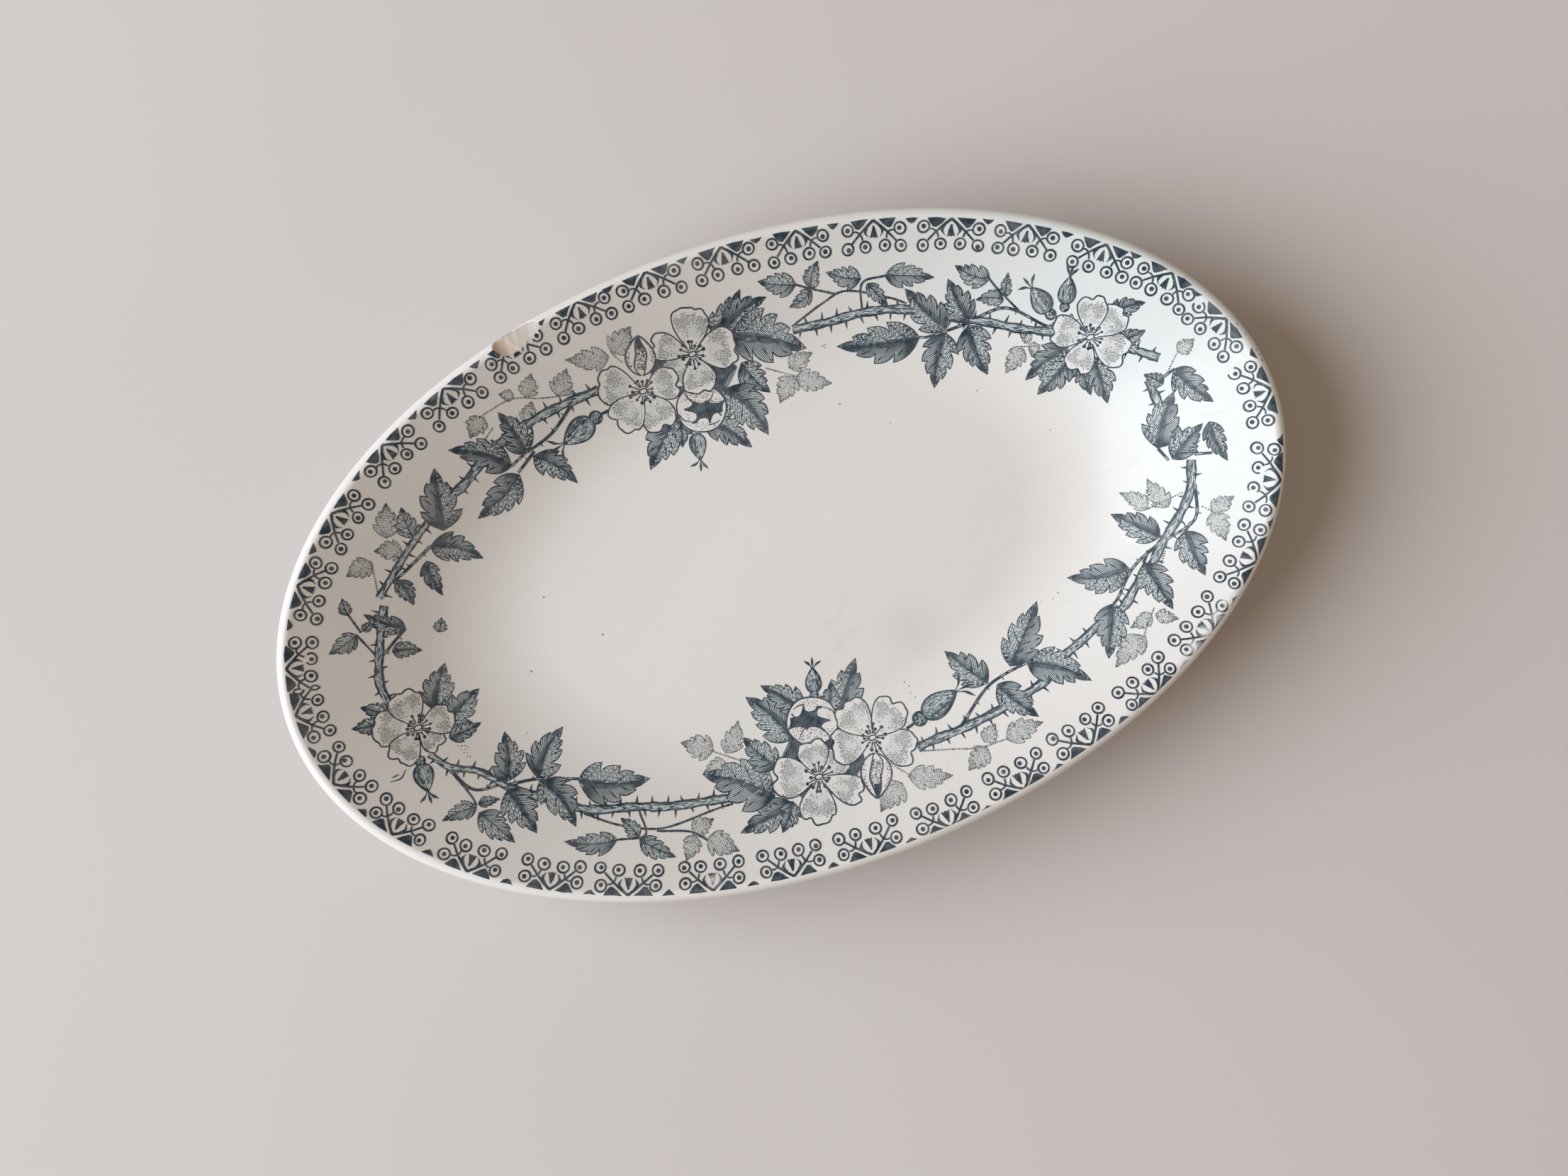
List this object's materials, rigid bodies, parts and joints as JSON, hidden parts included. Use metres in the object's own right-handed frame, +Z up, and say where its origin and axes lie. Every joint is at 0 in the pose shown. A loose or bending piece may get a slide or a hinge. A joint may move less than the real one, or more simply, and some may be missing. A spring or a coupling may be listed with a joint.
{
  "type": "relish dish",
  "caption": "Oval earthenware relish dish with a flat floor, sloping sides, a rounded lip and a low foot ring, for serving relishes and small side dishes at table.",
  "frame": {"origin": "centre of the foot ring's standing face, on the table", "axes": "+X along the long axis of the oval, +Y along the short axis, +Z up out of the dish"},
  "size_m": [0.24, 0.147, 0.03],
  "materials": {
    "biscuit": "unglazed, matt",
    "glaze": "clear glossy glaze over a warm white body"
  },
  "bodies": {
    "root": {"clay_body": "biscuit", "foot_ring": "biscuit", "face_glaze": "glaze", "back_glaze": "glaze"}
  },
  "joints": []
}
